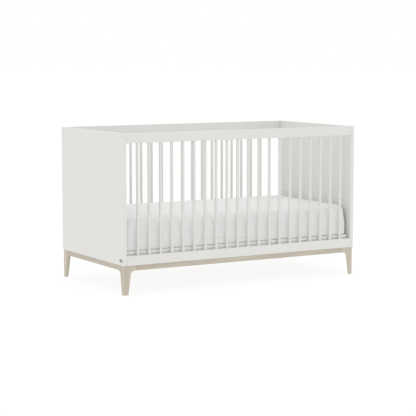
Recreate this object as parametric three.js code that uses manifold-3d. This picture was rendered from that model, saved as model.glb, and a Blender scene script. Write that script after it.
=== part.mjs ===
// Baby crib: two solid end panels, two slatted sides, a slatted mattress base on steel hangers,
// a mattress, and a wooden plinth ring on four tapered legs. Millimetres, +Z up, front is -Y.
// The origin is on the floor under the middle of the crib.
import * as THREE from "three";
import { mergeVertices } from "three/addons/utils/BufferGeometryUtils.js";
import Module from "manifold-3d";

const wasm = await Module();
wasm.setup();

// ---- driving sizes ----
const innerL = 1400; // inside length, between the end panels
const innerW = 700; // inside width, between the slatted sides
const panelT = 20; // end panel thickness
const railT = 19; // thickness of the side rails
const bodyH = 677; // height of the panels and sides
const legH = 124.8; // floor to the underside of the plinth
const plinthH = 26.9; // height of the plinth ring
const plinthT = 22; // thickness of the plinth ring
const plinthInset = 4; // how far the plinth stands in from the faces above it
const topRailH = 50; // height of the top rails
const bottomRailH = 50; // height of the bottom rails
const slatCount = 20; // slats in each side
const slatW = 12; // along the side
const slatT = 12.5; // through the side
const endGap = 61; // end panel to the first slat
const mortise = 10; // depth of each slat's socket in a rail
const boardEase = 1.1; // chamfer along the panels' and rails' edges
const slatEase = 1; // chamfer along the edges of the slats and stiles
const legTop = 42; // width of each outer leg face under the plinth
const legFoot = 24.5; // the same at the floor
const legLip = 3; // thin edge left along the leg's cut-away inner corner
const legFillet = 22; // curve that runs the leg into the plinth
const legWeb = 26; // how far the corner block is filled past its two arms
const plinthEase = 1.2; // chamfer on the plinth and down each leg's outer corner
const deckT = 15; // thickness of the slatted mattress base
const deckGap = 6; // the base rides this far above the bottom rails
const deckClear = 5; // base to the side rails
const deckEndClear = 5.5; // base to the hangers' uprights
const stileW = 45; // long stiles of the base
const stileLip = 3; // how far a stile overhangs the beam under it
const stileBeamW = 22; // that beam, which runs past the ends of the hangers' flanges
const lathCount = 13; // cross laths in the base
const lathW = 62;
const lathT = 8;
const lathLet = 3; // how far each lath is let into the stiles
const beamDrop = 24; // how far the three long beams hang below the base
const beamW = 30; // middle beam
const beamEnd = 45; // length cut away at the middle beam's ends, over the hangers
const mattressT = 166; // mattress thickness
const mattressClear = 5; // mattress to the slatted sides and end panels
const mattressCorner = 24; // plan radius of the mattress corners
const mattressEdge = 20; // rounding of its upper and lower edges
const hangerT = 2; // hanger steel thickness
const hangerShelf = 26; // hanger flange under the base
const hangerLow = 4; // the hanger's upright stops this far under the top of the base
const tabW = 34; // hanger ears, bolted to the end panels
const tabOver = 14; // ear above its highest bolt
const tabEase = 0.4; // chamfer round the ears
const boltInset = 72; // bolt columns, from the front and back faces
const boltR = 3.5; // radius of the bolt holes
const boltDepth = 12; // depth of the holes in the panels
const boltPitch = 32; // pitch of the three holes in one set
const boltLow = 102; // lowest hole of the low set, above the panel's bottom edge
const baseLift = 160; // from the low set of holes to the high set
const badgeL = 34; // plain metal badge let into the left panel
const badgeH = 16; // badge height
const badgeT = 2; // badge thickness
const badgeIn = 11; // badge to the panel's front edge
const badgeUp = 17; // badge above the panel's bottom edge
const gap = 0.3; // working gap between touching pieces
const slide = 0.5; // hanger to panel, so the base can be moved
const armLap = 4; // a leg's corner block runs this far past its curve
const over = 1; // cutting tools run this far past what they cut
const reach = 200; // sweeps of the leg's outline, longer than any leg is wide
const roundSides = 20; // facets round a bolt hole
const curveSteps = 8; // facets of a leg's curve

// ---- sizes that follow ----
const L = innerL + 2 * panelT;
const W = innerW + 2 * railT;
const plinthZ = legH;
const bodyZ = legH + plinthH + gap;
const slatPitch = (innerL - 2 * endGap - slatW) / (slatCount - 1);
const deckZ = bodyZ + bottomRailH + deckGap;
const deckTop = deckZ + deckT;
const deckL = innerL - 2 * (slide + hangerT + deckEndClear);
const deckW = innerW - 2 * deckClear;
const mattressZ = deckTop + gap;
const plinthArm = legTop + legFillet + armLap; // corner block length along each face
const boltRows = [0, 1, 2].map((k) => boltLow + k * boltPitch);

// ---- helpers ----
const solidOf = (geometry) => {
  const g = geometry.clone();
  g.deleteAttribute("normal");
  g.deleteAttribute("uv");
  const m = mergeVertices(g, 1e-4);
  return new wasm.Manifold(
    new wasm.Mesh({
      numProp: 3,
      vertProperties: m.attributes.position.array,
      triVerts: new Uint32Array(m.index.array),
    }),
  );
};
const geometryOf = (solid) => {
  const m = solid.getMesh();
  const v = new Float32Array(m.numVert * 3);
  for (let i = 0; i < m.numVert; i++)
    v.set(m.vertProperties.subarray(i * m.numProp, i * m.numProp + 3), i * 3);
  const g = new THREE.BufferGeometry();
  g.setAttribute("position", new THREE.BufferAttribute(v, 3));
  g.setIndex(new THREE.BufferAttribute(new Uint32Array(m.triVerts), 1));
  g.computeVertexNormals();
  return g;
};
// a box between two corners
const box = (x0, y0, z0, x1, y1, z1) =>
  new THREE.BoxGeometry(x1 - x0, y1 - y0, z1 - z0).translate(
    (x0 + x1) / 2,
    (y0 + y1) / 2,
    (z0 + z1) / 2,
  );
// a board with every edge chamfered by c
const board = (x0, y0, z0, x1, y1, z1, c) => {
  const s = new THREE.Shape();
  const [w, d] = [x1 - x0, y1 - y0];
  s.moveTo(c, 0);
  s.lineTo(w - c, 0);
  s.lineTo(w, c);
  s.lineTo(w, d - c);
  s.lineTo(w - c, d);
  s.lineTo(c, d);
  s.lineTo(0, d - c);
  s.lineTo(0, c);
  s.closePath();
  const g = new THREE.ExtrudeGeometry(s, {
    depth: z1 - z0 - 2 * c,
    bevelEnabled: true,
    bevelThickness: c,
    bevelSize: c,
    bevelOffset: -c,
    bevelSegments: 1,
    steps: 1,
  });
  return g.translate(x0, y0, z0 + c);
};
// a closed outline in the plane, extruded along +Z
const prism = (points, depth) =>
  new THREE.ExtrudeGeometry(new THREE.Shape(points.map((p) => new THREE.Vector2(...p))), {
    depth,
    bevelEnabled: false,
    steps: 1,
  });
const subtractAll = (geometry, tools) =>
  tools.reduce((solid, tool) => solid.subtract(solidOf(tool)), solidOf(geometry));
const unionAll = (parts) => parts.map(solidOf).reduce((a, b) => a.add(b));

// ---- materials ----
const mat = (color, roughness, metalness = 0) =>
  new THREE.MeshStandardMaterial({ color, roughness, metalness });
const white = mat(0xe4e3df, 0.45);
const wood = mat(0xc4bba9, 0.6);
const lathWood = mat(0xd8c6a4, 0.65);
const cloth = mat(0xe3e3e5, 0.95);
const steel = mat(0xb9bcc0, 0.35, 0.9);
const badgeMetal = mat(0x55575b, 0.4, 0.9);

const crib = new THREE.Group();
crib.name = "baby_crib";
const add = (name, geometry, material) => {
  const mesh = new THREE.Mesh(geometry, material);
  mesh.name = name;
  crib.add(mesh);
  return mesh;
};

// ---- end panels ----
// Near each side a panel has one set of three blind holes low down and another higher up,
// for the hangers that carry the mattress base. The left one is let in for the badge.
const hole = (side, y, z) =>
  new THREE.CylinderGeometry(boltR, boltR, boltDepth + 2 * over, roundSides)
    .rotateZ(Math.PI / 2)
    .translate(side * (innerL / 2 + boltDepth / 2 - over), y, z);
const badgeBox = (g) =>
  box(
    -L / 2 - (g > 0 ? over : 0),
    -W / 2 + badgeIn - g,
    bodyZ + badgeUp - g,
    -L / 2 + badgeT + g,
    -W / 2 + badgeIn + badgeL + g,
    bodyZ + badgeUp + badgeH + g,
  );
const endPanel = (side) => {
  const x = side * (innerL / 2 + panelT / 2);
  const h = panelT / 2;
  const blank = board(x - h, -W / 2, bodyZ, x + h, W / 2, bodyZ + bodyH, boardEase);
  const tools = [];
  for (const y of [-(W / 2 - boltInset), W / 2 - boltInset])
    for (const lift of [0, baseLift])
      for (const row of boltRows) tools.push(hole(side, y, bodyZ + row + lift));
  if (side < 0) tools.push(badgeBox(gap));
  return geometryOf(subtractAll(blank, tools));
};
add("end_panel_left", endPanel(-1), white);
add("end_panel_right", endPanel(1), white);
add("side_badge", badgeBox(0), badgeMetal);

// ---- slatted sides ----
// Rails run between the end panels, their faces level with the panels' edges. Every slat
// stands in a socket in each rail.
const railX = innerL / 2 - gap;
const slatX = (i) => -innerL / 2 + endGap + slatW / 2 + i * slatPitch;
const sockets = (y, z0, z1) =>
  Array.from({ length: slatCount }, (_, i) =>
    box(
      slatX(i) - slatW / 2 - gap,
      y - slatT / 2 - gap,
      z0,
      slatX(i) + slatW / 2 + gap,
      y + slatT / 2 + gap,
      z1,
    ),
  );
for (const [name, s] of [
  ["front", -1],
  ["back", 1],
]) {
  const y = s * (innerW / 2 + railT / 2);
  const [y0, y1] = [y - railT / 2, y + railT / 2];
  const top = bodyZ + bodyH;
  const topUnder = top - topRailH;
  const bottomOver = bodyZ + bottomRailH;
  const topRail = board(-railX, y0, topUnder, railX, y1, top, boardEase);
  const bottomRail = board(-railX, y0, bodyZ, railX, y1, bottomOver, boardEase);
  const upper = sockets(y, topUnder - over, topUnder + mortise + gap);
  const lower = sockets(y, bottomOver - mortise - gap, bottomOver + over);
  add(name + "_top_rail", geometryOf(subtractAll(topRail, upper)), white);
  add(name + "_bottom_rail", geometryOf(subtractAll(bottomRail, lower)), white);
  for (let i = 0; i < slatCount; i++) {
    const [a, b] = [slatX(i) - slatW / 2, slatX(i) + slatW / 2];
    const [z0, z1] = [bottomOver - mortise, topUnder + mortise];
    const n = String(i + 1).padStart(2, "0");
    add(
      name + "_slat_" + n,
      board(a, y - slatT / 2, z0, b, y + slatT / 2, z1, slatEase),
      white,
    );
  }
}

// ---- plinth ring ----
const px = L / 2 - plinthInset; // outer faces of the ring and legs
const py = W / 2 - plinthInset;
const plinthTop = plinthZ + plinthH;
for (const [name, s] of [
  ["front", -1],
  ["back", 1],
]) {
  const [ya, yb] = [s * py, s * (py - plinthT)].sort((a, b) => a - b);
  const x = px - plinthArm - gap;
  add("plinth_rail_" + name, board(-x, ya, plinthZ, x, yb, plinthTop, plinthEase), wood);
}
for (const [name, s] of [
  ["left", -1],
  ["right", 1],
]) {
  const [xa, xb] = [s * px, s * (px - plinthT)].sort((a, b) => a - b);
  const y = py - plinthArm - gap;
  add("plinth_rail_" + name, board(xa, -y, plinthZ, xb, y, plinthTop, plinthEase), wood);
}

// ---- legs ----
// A leg has two outer faces square to each other and a cut-away inner corner. It narrows to
// the floor on the inner side, and at the top it curves out into an L-shaped corner block.
// Built with its outer corner on the Z axis, reaching along +X and +Y.
const legWidth = (z) => legFoot + ((legTop - legFoot) * z) / legH;
const legEdge = () => {
  // inner edge of one face, from the floor up, ending in the curve
  const points = [[legFoot, 0]];
  const z0 = legH - legFillet;
  const w0 = legWidth(z0);
  for (let k = 0; k <= curveSteps; k++) {
    const a = (k / curveSteps) * (Math.PI / 2);
    points.push([w0 + legFillet * (1 - Math.cos(a)), z0 + legFillet * Math.sin(a)]);
  }
  return points;
};
const legSolid = () => {
  const edge = legEdge();
  const [far, top] = edge[edge.length - 1];
  const face = [[0, 0], ...edge, [far, top + over], [0, top + over]];
  // the face outline swept across, in X and in Y
  const acrossX = prism(face, reach).rotateX(Math.PI / 2).translate(0, reach, 0);
  const acrossY = prism(
    face.map(([a, b]) => [-a, b]).reverse(),
    reach,
  )
    .rotateX(Math.PI / 2)
    .rotateZ(-Math.PI / 2)
    .translate(reach, 0, 0);
  // the cut-away corner: the outline swept along the diagonal
  const r = Math.SQRT1_2;
  const diagonal = [
    [-reach, 0],
    ...edge.map(([a, b]) => [(a + legLip) * r, b]),
    [(far + legLip) * r, top + over],
    [-reach, top + over],
  ];
  const inner = prism(diagonal, 2 * reach)
    .translate(0, 0, -reach)
    .rotateX(Math.PI / 2)
    .rotateZ(Math.PI / 4);
  // corner block at the plinth's height
  const [a, t] = [plinthArm, plinthT];
  const web = t + legWeb;
  const block = prism(
    [
      [0, 0],
      [a, 0],
      [a, t],
      [web, t],
      [t, web],
      [t, a],
      [0, a],
    ],
    plinthH,
  ).translate(0, 0, legH);
  const leg = solidOf(acrossX).intersect(solidOf(acrossY)).intersect(solidOf(inner));
  // a small chamfer down the outer corner and around the top
  const c = plinthEase;
  const corner = prism(
    [
      [-over, -over],
      [2 * c + over, -over],
      [-over, 2 * c + over],
    ],
    legH + plinthH + 2 * over,
  ).translate(-c / 2, -c / 2, -over);
  return leg.add(solidOf(block)).subtract(solidOf(corner));
};
for (const [name, sx, sy] of [
  ["front_left", -1, -1],
  ["front_right", 1, -1],
  ["back_left", -1, 1],
  ["back_right", 1, 1],
]) {
  const quarter = sx < 0 ? (sy < 0 ? 0 : 3) : sy < 0 ? 1 : 2;
  const g = geometryOf(legSolid())
    .rotateZ((quarter * Math.PI) / 2)
    .translate(sx * px, sy * py, 0);
  add("leg_" + name, g, wood);
}

// ---- mattress base ----
// Two long stiles, each with a beam under it, and cross laths let in flush with their tops.
const deck = () => {
  const [x, y] = [deckL / 2, deckW / 2];
  const parts = [];
  for (const s of [-1, 1]) {
    const across = (a, b) => [s * (y - a), s * (y - b)].sort((p, q) => p - q);
    const [y0, y1] = across(0, stileW);
    const [b0, b1] = across(stileLip, stileLip + stileBeamW);
    const bx = x - slatEase;
    parts.push(board(-x, y0, deckZ, x, y1, deckTop, slatEase));
    parts.push(box(-bx, b0, deckZ - beamDrop, bx, b1, deckZ + slatEase));
  }
  const step = (deckL - lathW) / (lathCount - 1);
  for (let i = 0; i < lathCount; i++) {
    const c = -x + lathW / 2 + i * step;
    const [half, end] = [lathW / 2, y - stileW + lathLet];
    parts.push(box(c - half, -end, deckTop - lathT, c + half, end, deckTop));
  }
  return unionAll(parts);
};
add("mattress_deck", geometryOf(deck()), lathWood);

// A beam under the middle of the laths. It is cut away at each end to lie on the hangers.
const beamX = deckL / 2 - slatEase;
const beamTop = deckTop - lathT - gap;
const beamSide = [
  [-beamX, deckZ],
  [-beamX + beamEnd, deckZ],
  [-beamX + beamEnd + beamDrop, deckZ - beamDrop],
  [beamX - beamEnd - beamDrop, deckZ - beamDrop],
  [beamX - beamEnd, deckZ],
  [beamX, deckZ],
  [beamX, beamTop],
  [-beamX, beamTop],
];
add(
  "deck_beam",
  prism(beamSide, beamW)
    .rotateX(Math.PI / 2)
    .translate(0, beamW / 2, 0),
  lathWood,
);

// ---- hangers ----
// A steel angle under each end of the base, with two ears bolted to the end panel.
const hangerX = innerL / 2 - slide; // outer face of the upright flange
const earY = W / 2 - boltInset;
const earTop = bodyZ + boltRows[2] + tabOver;
const hanger = (side) => {
  const xs = (a, b) => [side * (hangerX - a), side * (hangerX - b)].sort((p, q) => p - q);
  const [f0, f1] = xs(0, hangerT);
  const [s0, s1] = xs(0, hangerShelf);
  const z0 = deckZ - gap - hangerT;
  const half = earY + tabW / 2;
  const parts = [
    box(s0, -half, z0, s1, half, z0 + hangerT),
    box(f0, -half, z0, f1, half, deckTop - hangerLow),
  ];
  for (const y of [-earY, earY])
    parts.push(board(f0, y - tabW / 2, z0, f1, y + tabW / 2, earTop, tabEase));
  let solid = unionAll(parts);
  for (const y of [-earY, earY])
    for (const row of boltRows) {
      const bore = new THREE.CylinderGeometry(boltR, boltR, 3 * hangerT, roundSides)
        .rotateZ(Math.PI / 2)
        .translate((f0 + f1) / 2, y, bodyZ + row);
      solid = solid.subtract(solidOf(bore));
    }
  return geometryOf(solid);
};
add("deck_hanger_left", hanger(-1), steel);
add("deck_hanger_right", hanger(1), steel);

// ---- mattress ----
const mattress = () => {
  const [x, y] = [innerL / 2 - mattressClear, innerW / 2 - mattressClear];
  const [r, e] = [mattressCorner, mattressEdge];
  const s = new THREE.Shape();
  s.moveTo(-x + r, -y);
  s.lineTo(x - r, -y);
  s.absarc(x - r, -y + r, r, -Math.PI / 2, 0, false);
  s.lineTo(x, y - r);
  s.absarc(x - r, y - r, r, 0, Math.PI / 2, false);
  s.lineTo(-x + r, y);
  s.absarc(-x + r, y - r, r, Math.PI / 2, Math.PI, false);
  s.lineTo(-x, -y + r);
  s.absarc(-x + r, -y + r, r, Math.PI, 1.5 * Math.PI, false);
  return new THREE.ExtrudeGeometry(s, {
    depth: mattressT - 2 * e,
    bevelEnabled: true,
    bevelThickness: e,
    bevelSize: e,
    bevelOffset: -e,
    bevelSegments: 4,
    curveSegments: 6,
    steps: 1,
  }).translate(0, 0, mattressZ + e);
};
add("mattress", mattress(), cloth);

export default crib;
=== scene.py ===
"""Looks for the baby crib: materials, mattress and fitted sheet, hanger bolts, light and camera.

Metres, +Z up, the crib's front is -Y and its length runs along X. Hard parts are the CAD nodes
with procedural materials. The mattress is rebuilt as a pad with a fitted sheet over it.
"""

import math

import bpy
import numpy as np
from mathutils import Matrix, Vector


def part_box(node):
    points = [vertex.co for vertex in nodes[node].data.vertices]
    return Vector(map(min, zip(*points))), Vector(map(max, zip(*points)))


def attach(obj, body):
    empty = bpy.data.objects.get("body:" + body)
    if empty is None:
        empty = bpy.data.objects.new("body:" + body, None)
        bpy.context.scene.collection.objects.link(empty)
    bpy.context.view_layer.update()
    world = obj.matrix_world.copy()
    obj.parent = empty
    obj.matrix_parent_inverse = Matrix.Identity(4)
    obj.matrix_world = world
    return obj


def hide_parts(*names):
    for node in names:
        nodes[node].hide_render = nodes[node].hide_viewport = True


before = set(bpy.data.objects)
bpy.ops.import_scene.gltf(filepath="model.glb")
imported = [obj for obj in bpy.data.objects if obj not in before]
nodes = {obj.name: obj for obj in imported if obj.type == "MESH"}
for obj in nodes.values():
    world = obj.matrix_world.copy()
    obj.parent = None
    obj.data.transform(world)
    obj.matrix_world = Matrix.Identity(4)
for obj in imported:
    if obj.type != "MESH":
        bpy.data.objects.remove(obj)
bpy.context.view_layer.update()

# ---- sizes, metres ----
CELL = 0.012  # mesh spacing on the mattress
EDGE_STEPS = (0.003, 0.006)  # the first rows in from each of its edges
PAD_INSET = 0.0042  # the pad starts this much inside the CAD mattress, and swells
PAD_SINK = 0.0052  # the same at its top
PAD_FLOOR = 0.0022  # pad above the underside of the CAD mattress, room for the sheet
PAD_CORNER = 0.023  # plan radius of its corners, low down
SIDE_EDGE = 0.020  # rounding that goes with it
TOP_CORNER = 0.044  # plan radius of its corners at the top, which are fuller and softer
TOP_EDGE = 0.036  # rounding of its upper edges
LOW_EDGE = 0.0025  # rounding of its lower edges
SOFTER_FROM, SOFTER_TO = 0.055, 0.135  # height over which the corners change
SWELL_OUT = 0.0030  # furthest that stuffing pressure moves the pad's surface out
SWELL_IN = 0.0006  # and in
SWELL_FRAMES = 20  # length of the simulation
SHEET_OUT = 0.0016  # sheet over the pad
SHEET_UNDER = 0.075  # how far the sheet wraps under the pad
SHEET_FLOOR = 0.0004  # lowest that the sheet may reach over the underside of the CAD mattress
GATHER_HEIGHT = 0.0007  # ripples that the elastic pulls the sheet into, under the pad
GATHER_PITCH = 0.021
GATHER_DRIFT = 0.17  # distance over which their pitch comes and goes
HEM_R = 0.0009  # elastic in the sheet's hem
HEM_IN = 0.004  # hem in from the sheet's edge
HEM_CORNER = 0.030  # plan radius of the hem's corners
HEM_DROP = 0.0008  # its middle below the pad
FOLD_GAIN = 2.9  # scales every fold
FOLD_OUT = 0.0034  # highest that folds may stand; a third of it on the ends
FOLD_IN = 0.0046  # deepest that they may dent the pad
FOLD_CURVE = 0.9  # how much each fold bends along its length
HOLLOW_AT, HOLLOW_DEPTH = 1.7, 0.8  # the hollow beside a fold, in widths and heights of it
STILE = 0.045  # width of the base's painted stiles
PAINT_EDGE = 0.0004  # softness of the line where their paint ends

# ---- camera: the photograph's viewing angle ----
CAMERA_AT = (-4.0175, -6.8349, 1.2534)
CAMERA_HEADING = 30.419  # degrees from +Y towards +X
CAMERA_TILT = -6.312  # degrees below the horizon
LENS_MM = 124.335
SENSOR_MM = 36.0
FLOOR_SIZE = 400.0

# ---- colours, linear ----
WHITE_PAINT = (0.728, 0.721, 0.693)
SLAT_PAINTED_SHADE = 0.980  # the slats' paint, darkened next to that of the rails and panels: painted shade
WASHED_WOOD = (0.546, 0.500, 0.414)
WASH_LIGHT_AND_SHADE_BY_AXIS = (0.985, 1.02, 1.03)  # painted shade and light by the way a member runs: a little darker on the long rails, a little lighter on the end rails and legs
SHEET_WHITE = (0.812, 0.812, 0.810)
TICKING = (0.68, 0.675, 0.65)
WARM_WOOD = (0.50, 0.44, 0.35)  # where the wash is thin
LATH_WOOD = (0.60, 0.48, 0.31)
POWDER_COAT = (0.50, 0.50, 0.49), (0.56, 0.56, 0.55)  # each metal from its darkest to its lightest
BADGE = (0.27, 0.27, 0.275), (0.42, 0.42, 0.43)
ZINC = (0.52, 0.53, 0.55), (0.66, 0.67, 0.68)


# ---------------------------------------------------------------------------
# node helpers
# ---------------------------------------------------------------------------
class Nodes:
    """Builds one material's node tree."""

    def __init__(self, name):
        self.material = bpy.data.materials.new(name)
        self.material.use_nodes = True
        self.tree = self.material.node_tree
        self.shader = next(n for n in self.tree.nodes if n.type == "BSDF_PRINCIPLED")
        self.position = self.add("ShaderNodeTexCoord").outputs["Object"]

    def add(self, kind, **values):
        node = self.tree.nodes.new(kind)
        for key, value in values.items():
            setattr(node, key, value)
        return node

    def link(self, source, target):
        self.tree.links.new(source, target)

    def stretched(self, scale, offset=(0, 0, 0)):
        """Object coordinates, scaled per axis."""
        m = self.add("ShaderNodeMapping")
        m.inputs["Scale"].default_value = scale
        m.inputs["Location"].default_value = offset
        self.link(self.position, m.inputs["Vector"])
        return m.outputs["Vector"]

    def noise(self, vector, scale, detail=3.0, roughness=0.5, distortion=0.0):
        n = self.add("ShaderNodeTexNoise")
        n.inputs["Scale"].default_value = scale
        n.inputs["Detail"].default_value = detail
        n.inputs["Roughness"].default_value = roughness
        n.inputs["Distortion"].default_value = distortion
        self.link(vector, n.inputs["Vector"])
        return n.outputs["Fac"]

    def remap(self, value, low, high, to_low, to_high):
        r = self.add("ShaderNodeMapRange")
        for key, v in zip(
            ("From Min", "From Max", "To Min", "To Max"), (low, high, to_low, to_high)
        ):
            r.inputs[key].default_value = v
        self.link(value, r.inputs["Value"])
        return r.outputs["Result"]

    def mix(self, factor, a, b, mode="MIX"):
        """Mixes two colours; each is a colour tuple or a socket."""
        m = self.add("ShaderNodeMix", data_type="RGBA", blend_type=mode)
        for socket, value in (
            (m.inputs["Factor"], factor),
            (m.inputs[6], a),
            (m.inputs[7], b),
        ):
            if isinstance(value, bpy.types.NodeSocket):
                self.link(value, socket)
            else:
                socket.default_value = value if isinstance(value, float) else (*value, 1.0)
        return m.outputs[2]

    def math(self, operation, a, b=0.0, c=0.0):
        m = self.add("ShaderNodeMath", operation=operation)
        for socket, value in zip(m.inputs, (a, b, c)):
            if isinstance(value, bpy.types.NodeSocket):
                self.link(value, socket)
            else:
                socket.default_value = value
        return m.outputs[0]

    def bump(self, height, distance, strength=1.0, under=None):
        b = self.add("ShaderNodeBump")
        b.inputs["Distance"].default_value = distance
        b.inputs["Strength"].default_value = strength
        self.link(height, b.inputs["Height"])
        if under is not None:
            self.link(under, b.inputs["Normal"])
        return b.outputs["Normal"]

    def finish(self, colour=None, roughness=None, normal=None, **fixed):
        if colour is not None:
            self.link(colour, self.shader.inputs["Base Color"])
        if roughness is not None:
            self.link(roughness, self.shader.inputs["Roughness"])
        if normal is not None:
            self.link(normal, self.shader.inputs["Normal"])
        for key, value in fixed.items():
            self.shader.inputs[key.replace("_", " ")].default_value = value
        return self.material


def scaled(colour, k):
    return tuple(c * k for c in colour)


def along(axis, length_scale, cross_scale):
    """A scale that stretches a pattern along one axis (0, 1 or 2)."""
    return tuple(length_scale if i == axis else cross_scale for i in range(3))


# ---------------------------------------------------------------------------
# materials
# ---------------------------------------------------------------------------
def painted_wood(axis, name, tone=1.0):
    """Satin white paint sprayed over close-grained wood: soft mottle, fine orange peel,
    and a trace of the grain below, running along the member."""
    n = Nodes(name)
    white = scaled(WHITE_PAINT, tone)
    mottle = n.noise(n.position, 2.2, detail=2.0)
    grain = n.noise(n.stretched(along(axis, 3.0, 140.0)), 1.0, detail=3.0)
    peel = n.noise(n.position, 650.0, detail=2.0)
    colour = n.mix(
        n.remap(mottle, 0.3, 0.7, 0.0, 1.0),
        scaled(white, 0.988),
        scaled(white, 1.012),
    )
    colour = n.mix(n.remap(grain, 0.35, 0.75, 0.0, 0.16), colour, scaled(white, 0.93))
    rough = n.remap(n.noise(n.position, 26.0), 0.3, 0.7, 0.40, 0.50)
    normal = n.bump(peel, 0.00006)
    normal = n.bump(grain, 0.00010, under=normal)
    return n.finish(colour, rough, normal, Specular_IOR_Level=0.38)


def washed_wood(axis):
    """Pale greige wash on open-grained wood, matt: long figure, fine pores, lighter wash
    left in bands."""
    n = Nodes("washed_wood_lit_and_shaded_" + "xyz"[axis])
    # painted shade and light by axis: the long rails' wash darker, the end rails' and legs'
    # lighter
    shade = scaled(WASHED_WOOD, WASH_LIGHT_AND_SHADE_BY_AXIS[axis])
    bend = n.noise(n.position, 3.0, detail=1.0)
    figure = n.noise(
        n.stretched(along(axis, 1.6, 34.0)), 1.0, detail=4.0, roughness=0.62, distortion=0.5
    )
    fine = n.noise(n.stretched(along(axis, 9.0, 420.0)), 1.0, detail=3.0, roughness=0.6)
    pores = n.noise(n.stretched(along(axis, 26.0, 1500.0), (0.3, 0.1, 0.7)), 1.0, detail=1.0)
    colour = n.mix(
        n.remap(figure, 0.32, 0.68, 0.0, 1.0),
        scaled(shade, 0.87),
        scaled(shade, 1.11),
    )
    colour = n.mix(n.remap(bend, 0.3, 0.7, 0.0, 0.26), colour, WARM_WOOD)
    colour = n.mix(n.remap(fine, 0.42, 0.72, 0.0, 0.30), colour, scaled(shade, 0.80))
    pore_mask = n.remap(pores, 0.60, 0.74, 0.0, 1.0)
    colour = n.mix(n.math("MULTIPLY", pore_mask, 0.40), colour, scaled(shade, 0.62))
    rough = n.remap(fine, 0.3, 0.7, 0.50, 0.66)
    normal = n.bump(fine, 0.00012)
    normal = n.bump(n.math("SUBTRACT", 1.0, pore_mask), 0.00015, under=normal)
    return n.finish(colour, rough, normal, Specular_IOR_Level=0.30)


def deck_wood():
    """Slatted base: bare pine laths across the width, white-painted stiles at the sides."""
    n = Nodes("slatted_base_wood")
    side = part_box("mattress_deck")[1].y
    figure = n.noise(
        n.stretched(along(1, 2.4, 60.0)), 1.0, detail=4.0, roughness=0.6, distortion=0.8
    )
    fine = n.noise(n.stretched(along(1, 10.0, 600.0)), 1.0, detail=2.0)
    pine = n.mix(
        n.remap(figure, 0.35, 0.65, 0.0, 1.0), scaled(LATH_WOOD, 0.84), scaled(LATH_WOOD, 1.12)
    )
    pine = n.mix(n.remap(fine, 0.45, 0.75, 0.0, 0.25), pine, scaled(LATH_WOOD, 0.7))
    split = n.add("ShaderNodeSeparateXYZ")
    n.link(n.position, split.inputs[0])
    out = n.math("ABSOLUTE", split.outputs["Y"])
    on_stile = n.remap(out, side - STILE - PAINT_EDGE, side - STILE + PAINT_EDGE, 0.0, 1.0)
    # the stiles' white is 9 to 13 % lighter than the frame's paint: painted light, for their place
    # in the shade under the mattress
    mottle = n.noise(n.stretched(along(0, 2.0, 60.0)), 1.0)
    paint = n.mix(
        n.remap(mottle, 0.3, 0.7, 0.0, 1.0), scaled(WHITE_PAINT, 1.09), scaled(WHITE_PAINT, 1.13)
    )
    colour = n.mix(on_stile, pine, paint)
    rough = n.remap(fine, 0.3, 0.7, 0.48, 0.62)
    normal = n.bump(fine, 0.00010)
    return n.finish(colour, rough, normal, Specular_IOR_Level=0.30)


def powder_steel():
    """Light grey powder coat with its fine pebbled skin."""
    n = Nodes("powder_coated_steel")
    peel = n.noise(n.position, 900.0, detail=2.0)
    tone = n.noise(n.position, 14.0)
    colour = n.mix(n.remap(tone, 0.3, 0.7, 0.0, 1.0), *POWDER_COAT)
    rough = n.remap(peel, 0.3, 0.7, 0.42, 0.55)
    return n.finish(colour, rough, n.bump(peel, 0.00008), Specular_IOR_Level=0.4)


def badge_steel():
    """Small grey plate, brushed along its length."""
    n = Nodes("brushed_badge")
    brush = n.noise(n.stretched(along(1, 30.0, 2600.0)), 1.0, detail=2.0)
    colour = n.mix(n.remap(brush, 0.3, 0.7, 0.0, 1.0), *BADGE)
    rough = n.remap(brush, 0.3, 0.7, 0.38, 0.52)
    return n.finish(colour, rough, n.bump(brush, 0.00003), Metallic=0.85)


def zinc_steel():
    """Zinc-plated bolt heads and pins."""
    n = Nodes("zinc_plated_steel")
    cloud = n.noise(n.position, 260.0, detail=3.0)
    colour = n.mix(n.remap(cloud, 0.3, 0.7, 0.0, 1.0), *ZINC)
    rough = n.remap(cloud, 0.3, 0.7, 0.26, 0.42)
    return n.finish(colour, rough, n.bump(cloud, 0.00003), Metallic=1.0)


def cotton(name, colour, creases=0.0):
    """Plain-woven cotton: threads both ways with slubs, slight mottle and a soft nap.

    creases is the height of its soft creases, in metres."""
    n = Nodes(name)
    threads = []
    for axis in (0, 1, 2):
        wave = n.add("ShaderNodeTexWave", wave_type="BANDS", bands_direction="XYZ"[axis])
        wave.inputs["Scale"].default_value = 420.0
        wave.inputs["Distortion"].default_value = 1.2
        wave.inputs["Detail"].default_value = 1.0
        wave.inputs["Detail Scale"].default_value = 2.0
        n.link(n.position, wave.inputs["Vector"])
        threads.append(wave.outputs["Fac"])
    cloth = n.math("ADD", threads[0], n.math("ADD", threads[1], threads[2]))
    slub = n.noise(n.stretched((30.0, 260.0, 260.0)), 1.0, detail=2.0)
    slub_across = n.noise(n.stretched((260.0, 30.0, 60.0)), 1.0, detail=2.0)
    mottle = n.noise(n.position, 5.0, detail=2.0)
    base = n.mix(n.remap(mottle, 0.3, 0.7, 0.0, 1.0), scaled(colour, 0.985), scaled(colour, 1.01))
    uneven = n.math("MULTIPLY", slub, slub_across)
    base = n.mix(n.remap(uneven, 0.18, 0.38, 0.0, 0.12), base, scaled(colour, 0.90))
    rough = n.remap(slub, 0.3, 0.7, 0.82, 0.92)
    normal = n.bump(cloth, 0.00009)
    normal = n.bump(uneven, 0.00025, under=normal)
    if creases:
        soft_creases = n.noise(n.stretched((9.0, 9.0, 15.0)), 1.0, detail=3.0, distortion=1.4)
        normal = n.bump(soft_creases, creases, under=normal)
    return n.finish(
        base, rough, normal, Specular_IOR_Level=0.15, Sheen_Weight=0.12, Sheen_Roughness=0.5
    )


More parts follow.
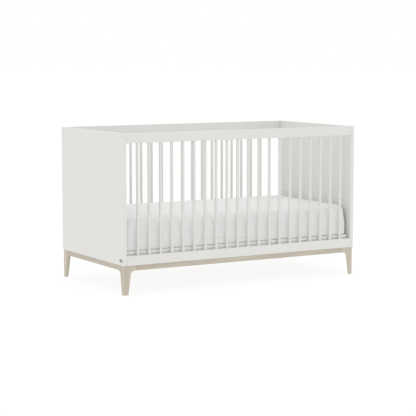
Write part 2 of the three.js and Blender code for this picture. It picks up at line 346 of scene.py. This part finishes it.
# ---------------------------------------------------------------------------
# mesh helpers
# ---------------------------------------------------------------------------
def make_object(name, points, faces, material, smooth=True):
    mesh = bpy.data.meshes.new(name)
    mesh.from_pydata([tuple(p) for p in points], [], [tuple(f) for f in faces])
    mesh.materials.append(material)
    mesh.polygons.foreach_set("use_smooth", [smooth] * len(mesh.polygons))
    mesh.update()
    obj = bpy.data.objects.new(name, mesh)
    bpy.context.scene.collection.objects.link(obj)
    return obj


def grid_lines(low, high, cell, edge_steps):
    """Grid positions from low to high: close together at the ends, then about one cell."""
    near = np.cumsum(edge_steps)
    inner_low, inner_high = low + near[-1], high - near[-1]
    count = max(int(round((inner_high - inner_low) / cell)), 2)
    middle = np.linspace(inner_low, inner_high, count + 1)
    return np.concatenate([[low], low + near[:-1], middle, high - near[:-1][::-1], [high]])


def box_grid(low, high, cell, edge_steps):
    """Vertices and quads of a closed box whose faces are grids, finer at the edges."""
    lines = [grid_lines(low[k], high[k], cell, edge_steps) for k in range(3)]
    counts = [len(line) - 1 for line in lines]
    index, points, faces = {}, [], []

    def vertex(key):
        if key not in index:
            index[key] = len(points)
            points.append([lines[k][key[k]] for k in range(3)])
        return index[key]

    for axis in range(3):
        u, v = [(1, 2), (2, 0), (0, 1)][axis]
        for end in (0, counts[axis]):
            for a in range(counts[u]):
                for b in range(counts[v]):
                    quad = []
                    for da, db in ((0, 0), (1, 0), (1, 1), (0, 1)):
                        key = [0, 0, 0]
                        key[axis], key[u], key[v] = end, a + da, b + db
                        quad.append(vertex(tuple(key)))
                    faces.append(quad if end else quad[::-1])
    return np.array(points), faces


def rounded(points, low, high, corner, top_edge, low_edge):
    """Moves the points of a box onto a pad with rounded plan corners and rounded edges."""
    centre = (np.array(low) + np.array(high)) / 2
    half = (np.array(high) - np.array(low)) / 2
    p = points - centre
    edge = np.where(p[:, 2:] > 0, top_edge, low_edge)
    plan = np.clip(p[:, :2], -(half[:2] - corner), half[:2] - corner)
    away = p[:, :2] - plan
    length = np.linalg.norm(away, axis=1, keepdims=True)
    away = away * np.minimum(1.0, (corner - edge) / np.maximum(length, 1e-9))
    height = np.clip(p[:, 2:], -(half[2] - edge), half[2] - edge)
    core = np.hstack([plan + away, height])
    out = p - core
    size = np.linalg.norm(out, axis=1, keepdims=True)
    moved = np.where(size < 1e-9, p, core + out * edge / np.maximum(size, 1e-9))
    return moved + centre


def smooth(t):
    """Eases 0 to 1."""
    t = np.clip(t, 0, 1)
    return t * t * (3 - 2 * t)


def vertex_array(mesh):
    co = np.empty(len(mesh.vertices) * 3)
    mesh.vertices.foreach_get("co", co)
    return co.reshape(-1, 3)


def set_vertices(mesh, points):
    mesh.vertices.foreach_set("co", np.asarray(points, dtype=float).ravel())
    mesh.update()


def vertex_normals(mesh):
    no = np.empty(len(mesh.vertices) * 3)
    mesh.vertex_normals.foreach_get("vector", no)
    return no.reshape(-1, 3)


def subdivide(obj):
    """One level of subdivision surface, applied."""
    modifier = obj.modifiers.new("subdivision", "SUBSURF")
    modifier.levels = modifier.render_levels = 1
    apply_all(obj)


def apply_all(obj):
    """Swaps the object's mesh for what its modifiers make of it, and drops them."""
    evaluated = obj.evaluated_get(bpy.context.evaluated_depsgraph_get())
    mesh = bpy.data.meshes.new_from_object(evaluated)
    mesh.name = obj.name
    obj.modifiers.clear()
    obj.data = mesh


def tube(name, path, radius, material, sides=8):
    """A round tube along a closed path of points."""
    path = np.asarray(path)
    count = len(path)
    points, faces = [], []
    for i, at in enumerate(path):
        ahead = path[(i + 1) % count] - path[i - 1]
        ahead = ahead / np.linalg.norm(ahead)
        side = np.cross(ahead, (0, 0, 1.0))
        side = side / np.linalg.norm(side)
        up = np.cross(side, ahead)
        for k in range(sides):
            a = 2 * math.pi * k / sides
            points.append(at + radius * (math.cos(a) * side + math.sin(a) * up))
    for i in range(count):
        for k in range(sides):
            a, b = i * sides, ((i + 1) % count) * sides
            faces.append([a + k, a + (k + 1) % sides, b + (k + 1) % sides, b + k])
    return make_object(name, points, faces, material)


# ---------------------------------------------------------------------------
# finishes for the CAD nodes
# ---------------------------------------------------------------------------
panel_paint = painted_wood(2, "white_paint_panels")
rail_paint = painted_wood(0, "white_paint_rails")
# the slats get the same white paint, 2 % darker, as painted shade
slat_shaded_paint = painted_wood(2, "white_paint_shaded_slats", SLAT_PAINTED_SHADE)
washed = [washed_wood(axis) for axis in range(3)]
slatted = deck_wood()
steel = powder_steel()
zinc = zinc_steel()


def finish_of(name):
    """The material of a CAD node; X, Y or Z is the way its grain runs."""
    if name.startswith("end_panel"):
        return panel_paint
    if "_slat_" in name:
        return slat_shaded_paint
    if name.endswith("_rail"):
        return rail_paint
    if name in ("plinth_rail_front", "plinth_rail_back"):
        return washed[0]
    if name.startswith("plinth_rail"):
        return washed[1]
    if name.startswith("leg"):
        return washed[2]
    if name in ("mattress_deck", "deck_beam"):
        return slatted
    if name.startswith("deck_hanger"):
        return steel
    return None


for name, node in nodes.items():
    material = finish_of(name)
    if material is not None:
        node.data.materials.clear()
        node.data.materials.append(material)
nodes["side_badge"].data.materials.clear()
nodes["side_badge"].data.materials.append(badge_steel())

# ---------------------------------------------------------------------------
# mattress pad: a stuffed pad, swollen by cloth simulation
# ---------------------------------------------------------------------------
box_low, box_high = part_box("mattress")
pad_low = np.array(box_low) + (PAD_INSET, PAD_INSET, PAD_FLOOR)
pad_high = np.array(box_high) - (PAD_INSET, PAD_INSET, PAD_SINK)
pad_size = pad_high - pad_low
grid_points, grid_faces = box_grid(pad_low, pad_high, CELL, EDGE_STEPS)
firm = rounded(grid_points, pad_low, pad_high, PAD_CORNER, SIDE_EDGE, LOW_EDGE)
soft = rounded(grid_points, pad_low, pad_high, TOP_CORNER, TOP_EDGE, LOW_EDGE)
softness = smooth((grid_points[:, 2:] - pad_low[2] - SOFTER_FROM) / (SOFTER_TO - SOFTER_FROM))
start = firm + (soft - firm) * softness


def swell(obj):
    """Cloth simulation of the pad under the pressure of its stuffing."""
    modifier = obj.modifiers.new("cloth", "CLOTH")
    cloth = modifier.settings
    cloth.quality = 5
    cloth.mass = 0.3
    cloth.tension_stiffness = cloth.compression_stiffness = 15.0
    cloth.bending_stiffness = 0.6
    cloth.use_pressure = True
    cloth.uniform_pressure_force = 4.0
    cloth.effector_weights.gravity = 0.0
    modifier.point_cache.frame_start = 1
    modifier.point_cache.frame_end = SWELL_FRAMES
    scene = bpy.context.scene
    for step in range(1, SWELL_FRAMES + 1):
        scene.frame_set(step)
    evaluated = obj.evaluated_get(bpy.context.evaluated_depsgraph_get())
    result = vertex_array(evaluated.to_mesh()).copy()
    evaluated.to_mesh_clear()
    obj.modifiers.clear()
    scene.frame_set(1)
    return result


pad = make_object("mattress_pad", start, grid_faces, cotton("ticking_cotton", TICKING))
moved = swell(pad)
first_normals = vertex_normals(pad.data).copy()
outward = np.sum((moved - start) * first_normals, axis=1, keepdims=True)
outward = np.clip(outward, -SWELL_IN, SWELL_OUT)
swollen = start + first_normals * outward
lowest = pad_low[2]
swollen[:, 2] = np.maximum(swollen[:, 2], lowest)
swollen[start[:, 2] < lowest + 1e-6, 2] = lowest
set_vertices(pad.data, swollen)
pad_normals = vertex_normals(pad.data).copy()
subdivide(pad)

# ---------------------------------------------------------------------------
# fitted sheet: follows the pad, wraps under it, and gathers on an elastic hem
# ---------------------------------------------------------------------------
half_x, half_y = pad_size[0] / 2, pad_size[1] / 2
straight_x, straight_y = 2 * (half_x - PAD_CORNER), 2 * (half_y - PAD_CORNER)
arc = math.pi / 2 * PAD_CORNER
round_length = 2 * (straight_x + straight_y) + 4 * arc


def inside_by(p):
    """Distance in from the pad's outline, in plan."""
    return np.minimum(half_x - np.abs(p[:, 0]), half_y - np.abs(p[:, 1]))


def around(p):
    """Distance round the pad's outline, from the front left, counter-clockwise."""
    x, y = p[:, 0], p[:, 1]
    cx = np.clip(x, -straight_x / 2, straight_x / 2)
    cy = np.clip(y, -straight_y / 2, straight_y / 2)
    # which side of the pad the point is nearest to
    gaps = np.stack([half_y + y, half_x - x, half_y - y, half_x + x])
    side = np.argmin(gaps, axis=0)
    base = np.cumsum([0, straight_x + arc, straight_y + arc, straight_x + arc])
    run = np.select(
        [side == 0, side == 1, side == 2, side == 3],
        [cx + straight_x / 2, cy + straight_y / 2, straight_x / 2 - cx, straight_y / 2 - cy],
    )
    u = base[side] + run
    turning = (np.abs(x) > straight_x / 2) & (np.abs(y) > straight_y / 2)
    angle = np.arctan2(y - cy, x - cx)  # -pi/2 at the front, 0 at the right
    corner_start = np.where(
        (x > 0) & (y < 0), base[1] - arc, np.where((x > 0), base[2] - arc, 0.0)
    )
    corner_start = np.where((x < 0) & (y > 0), base[3] - arc, corner_start)
    corner_start = np.where((x < 0) & (y < 0), round_length - arc, corner_start)
    turned = (angle + math.pi / 2) % (math.pi / 2 + 1e-9) * PAD_CORNER
    return np.where(turning, corner_start + turned, u)


def up_the_side(p, normals):
    """Height up the side, running on over the top and, negative, under the pad."""
    v = p[:, 2] - pad_low[2] + inside_by(p) * smooth(normals[:, 2])
    return np.where(normals[:, 2] < -0.9, -inside_by(p), v)


def folds():
    """Soft folds as (u, v, slope angle, half length, half width, height)."""
    rng = np.random.default_rng(11)
    corners = [
        straight_x + arc / 2,
        straight_x + straight_y + 1.5 * arc,
        2 * straight_x + straight_y + 2.5 * arc,
        round_length - arc / 2,
    ]
    out = []
    for u0 in corners:
        for hand in (-1, 1):
            # fans out from the tucked-in corner
            for away in (0.03, 0.06, 0.10, 0.15, 0.21, 0.29):
                away = away + rng.uniform(-0.012, 0.012)
                v0 = rng.uniform(0.035, 0.060)
                slope = math.atan2(0.13 - away * 0.15, away * 0.9) * hand
                size = rng.uniform(0.0009, 0.0017) * math.exp(-away / 0.25)
                length, width = rng.uniform(0.035, 0.060), rng.uniform(0.005, 0.010)
                out.append((u0 + hand * away, v0, slope, length, width, size))
            # drawn towards the corner over the top
            out.append(
                (u0 + hand * 0.09, pad_size[2] + 0.05, 0.9 * hand, 0.11, 0.014, 0.0007)
            )
    lanes = ((0.0, straight_x), (straight_x + arc, straight_y))
    lanes += ((straight_x + straight_y + 2 * arc, straight_x),)
    lanes += ((2 * straight_x + straight_y + 3 * arc, straight_y),)
    for begin, length in lanes:
        # slanting folds low down, and level pull lines close to the hem
        for _ in range(int(length / 0.075)):
            u0 = begin + rng.uniform(0.06, length - 0.06)
            slope = rng.choice((-1, 1)) * rng.uniform(0.5, 1.0)
            long, width = rng.uniform(0.022, 0.045), rng.uniform(0.006, 0.011)
            size = rng.uniform(0.0004, 0.0010)
            out.append((u0, rng.uniform(0.02, 0.06), slope, long, width, size))
        for _ in range(int(length / 0.06)):
            u0 = begin + rng.uniform(0.03, length - 0.03)
            long = rng.uniform(0.04, 0.10)
            slope = rng.uniform(-0.05, 0.05)
            out.append((u0, rng.uniform(0.006, 0.020), slope, long, 0.004, 0.0008))
    # a few deeper ones, left of the middle of the front, where the sheet was pulled straight
    for u0, v0, slope, long, width, size in (
        (0.280, 0.085, -1.00, 0.050, 0.012, 0.0022),
        (0.345, 0.050, -0.85, 0.055, 0.013, 0.0024),
        (0.405, 0.045, 0.90, 0.045, 0.012, 0.0018),
        (0.500, 0.075, -0.95, 0.060, 0.013, 0.0024),
        (0.545, 0.055, 0.80, 0.045, 0.012, 0.0020),
        (0.720, 0.045, 0.85, 0.045, 0.010, 0.0014),
    ):
        out.append((u0, v0, slope, long, width, size))
    return out


def fold_height(u, v):
    """Height of the folds at each (u, v): each is a ridge with a hollow beside it."""
    total = np.zeros(len(u))
    for u0, v0, slope, long, width, size in folds():
        du = (u - u0 + round_length / 2) % round_length - round_length / 2
        dv = v - v0
        along_it = du * math.cos(slope) + dv * math.sin(slope)
        across = dv * math.cos(slope) - du * math.sin(slope)
        across = across - FOLD_CURVE * along_it**2
        taper = np.clip(1 - (along_it / long) ** 2, 0, 1) ** 2
        ridge = np.exp(-((across / width) ** 2))
        hollow = np.exp(-((across / width - HOLLOW_AT) ** 2))
        total += FOLD_GAIN * size * taper * (ridge - HOLLOW_DEPTH * hollow)
    return total


def relief(points, normals):
    """How far the folds move each point of the pad or of its sheet along its normal."""
    v = up_the_side(points, normals)
    height = fold_height(around(points), v)
    on_ends = np.abs(normals[:, 0]) > 0.5
    most = np.where(height < 0, FOLD_IN, np.where(on_ends, FOLD_OUT / 3, FOLD_OUT))
    return np.where(v < 0, 0.0, most * np.tanh(height / most))


def fitted_sheet():
    """The pad's own surface, let out a little, without the middle of its underside."""
    inner = inside_by(start)
    under = start[:, 2] < lowest + 1e-6
    kept = [
        f
        for f in grid_faces
        if not all(under[i] for i in f) or min(inner[i] for i in f) < SHEET_UNDER
    ]
    used = sorted({i for f in kept for i in f})
    index = {old: new for new, old in enumerate(used)}
    points = (swollen + pad_normals * SHEET_OUT)[used]
    faces = [[index[i] for i in f] for f in kept]
    cloth = cotton("sheet_cotton", SHEET_WHITE, creases=0.006)
    sheet = make_object("fitted_sheet", points, faces, cloth)
    subdivide(sheet)
    points = vertex_array(sheet.data)
    normals = vertex_normals(sheet.data)
    u, v = around(points), up_the_side(points, normals)
    # gathers on the elastic, growing towards the hem
    gather = np.clip(-v / SHEET_UNDER, 0, 1) ** 1.5
    drift = 2.5 * np.sin(2 * math.pi * u / GATHER_DRIFT)
    wave = np.sin(2 * math.pi * u / GATHER_PITCH + drift)
    points = points + normals * relief(points, normals)[:, None]
    points[:, 2] += gather * GATHER_HEIGHT * (wave + 0.3)
    points[:, 2] = np.maximum(points[:, 2], float(box_low[2]) + SHEET_FLOOR)
    set_vertices(sheet.data, points)
    return sheet


# the pad takes the folds' hollows too, so it stays under the sheet
pad_points, normals = vertex_array(pad.data), vertex_normals(pad.data)
set_vertices(pad.data, pad_points + normals * relief(pad_points, normals)[:, None])
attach(pad, "mattress")
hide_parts("mattress")
sheet = fitted_sheet()


def hem_path():
    """Round the underside of the pad, along the sheet's edge."""
    inset = SHEET_UNDER - HEM_IN
    hx, hy = half_x - inset, half_y - inset
    r = HEM_CORNER
    path = []
    for cx, cy, first in (
        (hx - r, -(hy - r), -90),
        (hx - r, hy - r, 0),
        (-(hx - r), hy - r, 90),
        (-(hx - r), -(hy - r), 180),
    ):
        for k in range(7):
            a = math.radians(first + 15 * k)
            path.append((cx + r * math.cos(a), cy + r * math.sin(a)))
    out = []
    for (ax, ay), (bx, by) in zip(path, path[1:] + path[:1]):
        steps = max(1, round(math.hypot(bx - ax, by - ay) / CELL))
        for k in range(steps):
            t = k / steps
            out.append((ax + (bx - ax) * t, ay + (by - ay) * t, lowest - HEM_DROP))
    return out


hem = tube("sheet_hem", hem_path(), HEM_R, cotton("hem_cotton", scaled(SHEET_WHITE, 0.97)))
for piece in (sheet, hem):
    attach(piece, "mattress")

# ---------------------------------------------------------------------------
# hanger bolts: two bolts, and a locating pin between them, through each hanger ear
# ---------------------------------------------------------------------------
BOLT_LOW = 0.102  # lowest hole above the panels' bottom edge, as in the CAD panels
BOLT_PITCH = 0.032
BOLT_INSET = 0.072  # bolt columns, from the front and back faces
SHANK = 0.0032
SHANK_IN = 0.0115  # into the panel


def lathe(profile, at, pointing, material, name, hexagon=None, sides=24):
    """Turns a profile of (distance along, radius) about an X axis through a point.

    From the row named by hexagon on, the radius is that of a six-sided socket."""
    points, faces = [], []
    for row, (run, radius) in enumerate(profile):
        for k in range(sides):
            a = 2 * math.pi * k / sides
            r = radius
            if hexagon is not None and row >= hexagon:
                turn = (a + math.pi / 6) % (math.pi / 3) - math.pi / 6
                r = radius * math.cos(math.pi / 6) / math.cos(turn)
            points.append(
                (at[0] + pointing * run, at[1] + r * math.cos(a), at[2] + r * math.sin(a))
            )
    for row in range(len(profile) - 1):
        for k in range(sides):
            a, b = row * sides + k, row * sides + (k + 1) % sides
            quad = [a, b, b + sides, a + sides]
            faces.append(quad if pointing > 0 else quad[::-1])
    for ring, flip in ((0, pointing > 0), (len(profile) - 1, pointing < 0)):
        cap = [ring * sides + k for k in range(sides)]
        faces.append(cap[::-1] if flip else cap)
    obj = make_object(name, points, faces, material)
    obj.data.set_sharp_from_angle(angle=math.radians(35))
    return obj


# along the bolt from the tip of the shank to the bottom of the socket: (distance, radius)
EAR = 0.0021  # the steel of the hanger's ear, with the heads just off it
BOLT_PROFILE = (
    (-SHANK_IN, SHANK * 0.7),
    (-SHANK_IN + 0.001, SHANK),
    (EAR, SHANK),
    (EAR, 0.0074),  # low head
    (EAR + 0.0003, 0.0078),
    (EAR + 0.0006, 0.0077),
    (EAR + 0.0009, 0.0070),
    (EAR + 0.0009, 0.0030),  # socket
    (EAR - 0.0010, 0.0030),
)
SOCKET_ROW = 7
PIN_PROFILE = (
    (-SHANK_IN, SHANK * 0.7),
    (-SHANK_IN + 0.001, SHANK),
    (EAR, SHANK),
    (EAR, 0.0050),
    (EAR + 0.0005, 0.0050),
    (EAR + 0.0008, 0.0044),
)
panel_low, panel_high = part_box("end_panel_left")
hangers = {"left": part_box("deck_hanger_left"), "right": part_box("deck_hanger_right")}
for end, (low, high) in hangers.items():
    pointing = 1 if end == "left" else -1
    face = low.x if end == "left" else high.x  # the upright's outer face
    for hand, y in (("front", panel_low.y + BOLT_INSET), ("back", panel_high.y - BOLT_INSET)):
        for k, kind in enumerate(("bolt_low", "pin", "bolt_high")):
            at = (face, y, panel_low.z + BOLT_LOW + k * BOLT_PITCH)
            name = f"hanger_{kind}_{end}_{hand}"
            if kind == "pin":
                piece = lathe(PIN_PROFILE, at, pointing, zinc, name)
            else:
                piece = lathe(BOLT_PROFILE, at, pointing, zinc, name, hexagon=SOCKET_ROW)
            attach(piece, "mattress_base")

# ---------------------------------------------------------------------------
# stage, light, camera
# ---------------------------------------------------------------------------
def studio():
    scene = bpy.context.scene
    scene.view_settings.view_transform = "Standard"
    scene.view_settings.look = "None"
    world = bpy.data.worlds.new("studio")
    world.use_nodes = True
    world.node_tree.nodes["Background"].inputs["Color"].default_value = (1.0, 1.0, 1.0, 1.0)
    world.node_tree.nodes["Background"].inputs["Strength"].default_value = 1.0
    scene.world = world

    reach = FLOOR_SIZE / 2
    corners = [(-reach, -reach, 0), (reach, -reach, 0), (reach, reach, 0), (-reach, reach, 0)]
    floor = make_object("studio_floor", corners, [(0, 1, 2, 3)], floor_material(), False)

    def area(name, at, towards, size, power):
        light = bpy.data.lights.new(name, "AREA")
        light.shape = "RECTANGLE"
        light.size, light.size_y = size
        light.energy = power
        obj = bpy.data.objects.new(name, light)
        obj.location = at
        direction = Vector(towards) - Vector(at)
        obj.rotation_euler = direction.to_track_quat("-Z", "Y").to_euler()
        scene.collection.objects.link(obj)

    area("overhead_softbox", (0.0, -0.2, 3.2), (0.0, 0.0, 0.0), (3.4, 2.4), 12.5)
    area("left_softbox", (-4.5, -3.0, 1.6), (-0.6, 0.0, 0.5), (2.5, 2.0), 5.5)


def floor_material():
    """Pale floor that gives off most of its light itself, so the crib's shadow stays faint."""
    n = Nodes("pale_floor")
    tone = n.noise(n.position, 0.8)
    colour = n.mix(n.remap(tone, 0.3, 0.7, 0.0, 1.0), (0.15, 0.15, 0.15), (0.16, 0.16, 0.16))
    n.shader.inputs["Emission Color"].default_value = (1.0, 1.0, 1.0, 1.0)
    return n.finish(colour, Roughness=0.9, Specular_IOR_Level=0.0, Emission_Strength=0.86)


def camera():
    data = bpy.data.cameras.new("camera")
    data.lens = LENS_MM
    data.sensor_width = SENSOR_MM
    data.clip_end = 100.0
    cam = bpy.data.objects.new("camera", data)
    cam.location = CAMERA_AT
    cam.rotation_euler = (
        math.radians(90 + CAMERA_TILT),
        0.0,
        math.radians(-CAMERA_HEADING),
    )
    bpy.context.scene.collection.objects.link(cam)
    bpy.context.scene.camera = cam


studio()
camera()

bpy.context.view_layer.update()
